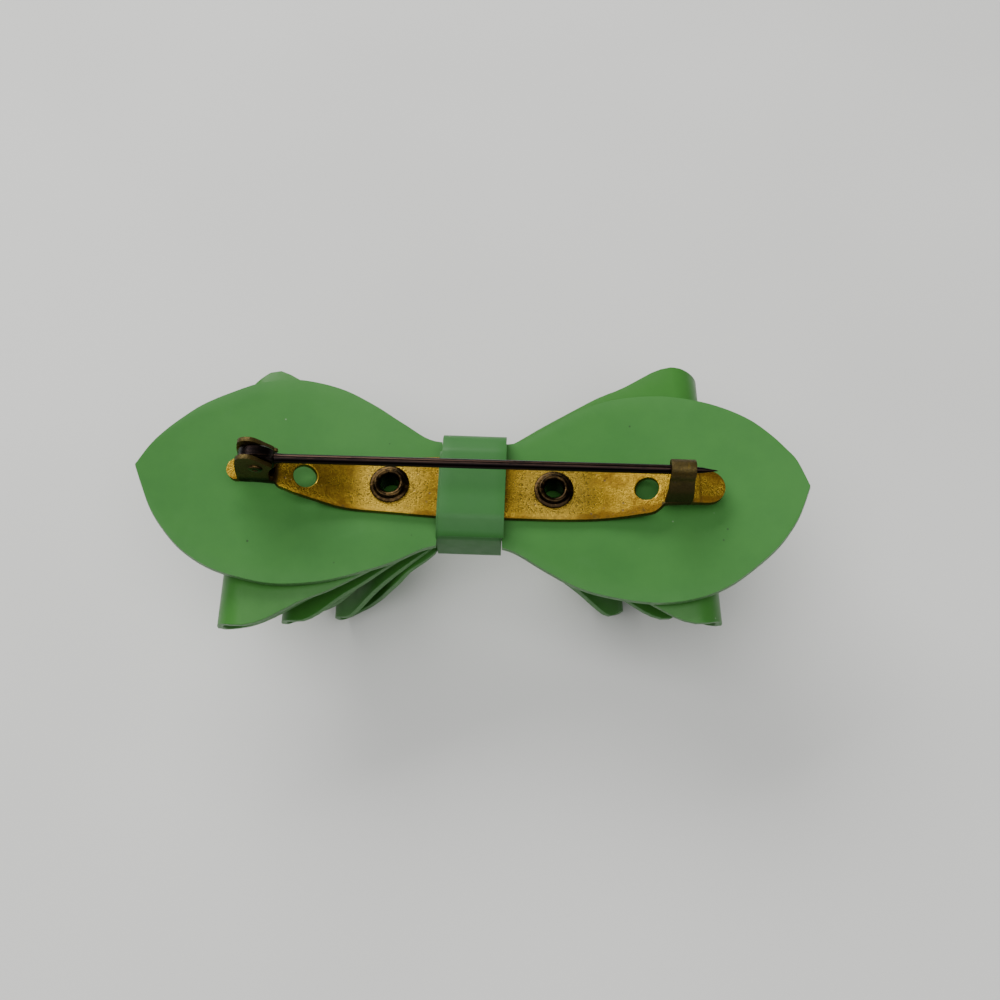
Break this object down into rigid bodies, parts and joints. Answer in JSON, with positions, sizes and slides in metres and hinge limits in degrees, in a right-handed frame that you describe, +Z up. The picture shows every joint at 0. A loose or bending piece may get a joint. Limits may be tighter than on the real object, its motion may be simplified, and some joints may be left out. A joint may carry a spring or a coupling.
{
  "type": "bow brooch",
  "caption": "Layered ribbon bow brooch in glossy green plastic sheet, lying on its front, with a riveted brass bar pin across its back.",
  "frame": {"origin": "middle of the brooch's outline, at the surface that it lies on", "axes": "+X along the bow towards the catch, +Y across the bow, +Z up, from the front of the bow to its back"},
  "size_m": [0.0506, 0.0228, 0.0189],
  "materials": {
    "leaf_plastic": "opaque green sheet with a worn gloss",
    "ribbon_plastic": "opaque green sheet, glossy on its folds",
    "bar_brass": "stamped brass with a brown patina",
    "dark_brass": "blackened brass",
    "pin_steel": "blackened steel wire"
  },
  "bodies": {
    "root": {"back_leaf": "leaf_plastic", "outer_ribbon": "ribbon_plastic", "middle_ribbon": "ribbon_plastic", "inner_ribbon": "ribbon_plastic", "wrap_band": "leaf_plastic", "pin_bar": "bar_brass", "hinge_rivet": "dark_brass", "eyelet_left": "dark_brass", "eyelet_right": "dark_brass"},
    "pin": {"pin_stem": "pin_steel"}
  },
  "joints": [
    {"name": "pin_hinge", "type": "hinge", "parent": "root", "child": "pin", "pos_m": [-0.0155, 0, 0.0172], "axis": [0, -1, 0], "range_deg": [0, 100]}
  ]
}
